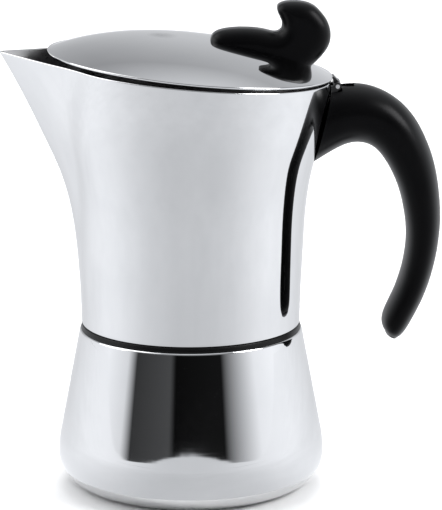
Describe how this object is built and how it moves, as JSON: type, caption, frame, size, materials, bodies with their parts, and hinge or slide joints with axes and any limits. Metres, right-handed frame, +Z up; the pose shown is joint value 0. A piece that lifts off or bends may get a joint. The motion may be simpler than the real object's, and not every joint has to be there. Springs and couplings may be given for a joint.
{
  "type": "moka pot",
  "caption": "Stovetop coffee maker: threaded boiler, screw-on spouted jug with coffee column, hinged domed lid with thumb knob, and hook handle.",
  "frame": {"origin": "centre of the base on the table", "axes": "+Z up along the pot's axis, the spout towards -X, the handle towards +X"},
  "size_m": [0.1698, 0.1098, 0.1896],
  "materials": {
    "polished_steel": "mirror polished",
    "plain_steel": "satin",
    "base_steel": "ground",
    "black_plastic": "fine satin",
    "black_steel": "satin",
    "neck_black": "gloss",
    "brass": "machined",
    "fibre": "matt",
    "silicone": "matt"
  },
  "bodies": {
    "boiler": {"boiler_shell": "polished_steel", "boiler_floor": "polished_steel", "base_disc": "base_steel", "boiler_neck": "plain_steel", "neck_ring": "neck_black", "valve_body": "brass", "valve_washer": "fibre", "valve_nut": "brass", "valve_cap": "brass", "valve_spring": "plain_steel", "funnel_body": "plain_steel", "funnel_strainer": "plain_steel"},
    "seal": {"seal_gasket": "silicone", "filter_plate": "plain_steel"},
    "jug": {"jug_shell": "polished_steel", "thread_ring": "plain_steel", "jug_floor": "plain_steel", "coffee_column": "plain_steel", "column_cap": "plain_steel", "hinge_bracket": "black_steel", "hinge_pin": "plain_steel", "handle_grip": "black_plastic", "handle_bracket": "plain_steel", "handle_screw": "plain_steel"},
    "lid": {"lid_shell": "polished_steel", "lid_hinge_leaf": "black_steel", "lid_knob": "black_plastic", "knob_screws": "plain_steel", "knob_washers": "plain_steel"},
    "relief_poppet": {"valve_poppet": "brass"}
  },
  "joints": [
    {"name": "jug_lift", "type": "slide", "parent": "boiler", "child": "seal", "axis": [0, 0, 1], "range_m": [0, 0.00801]},
    {"name": "jug_turn", "type": "hinge", "parent": "seal", "child": "jug", "pos_m": [0, 0, 0.07], "axis": [0, 0, 1], "range_deg": [0, 720]},
    {"name": "lid_hinge", "type": "hinge", "parent": "jug", "child": "lid", "pos_m": [0.0563, 0, 0.1574], "axis": [0, 1, 0], "range_deg": [0, 96]},
    {"name": "relief_lift", "type": "slide", "parent": "boiler", "child": "relief_poppet", "axis": [0, 0.9822, 0.1881], "range_m": [0, 0.0012], "stiffness_N_per_m": 800, "springref_m": -0.002, "deforming": ["valve_spring"]}
  ],
  "couplings": [
    {"joint": "jug_lift", "follows": "jug_turn", "m_per_rad": 0.00063662}
  ]
}
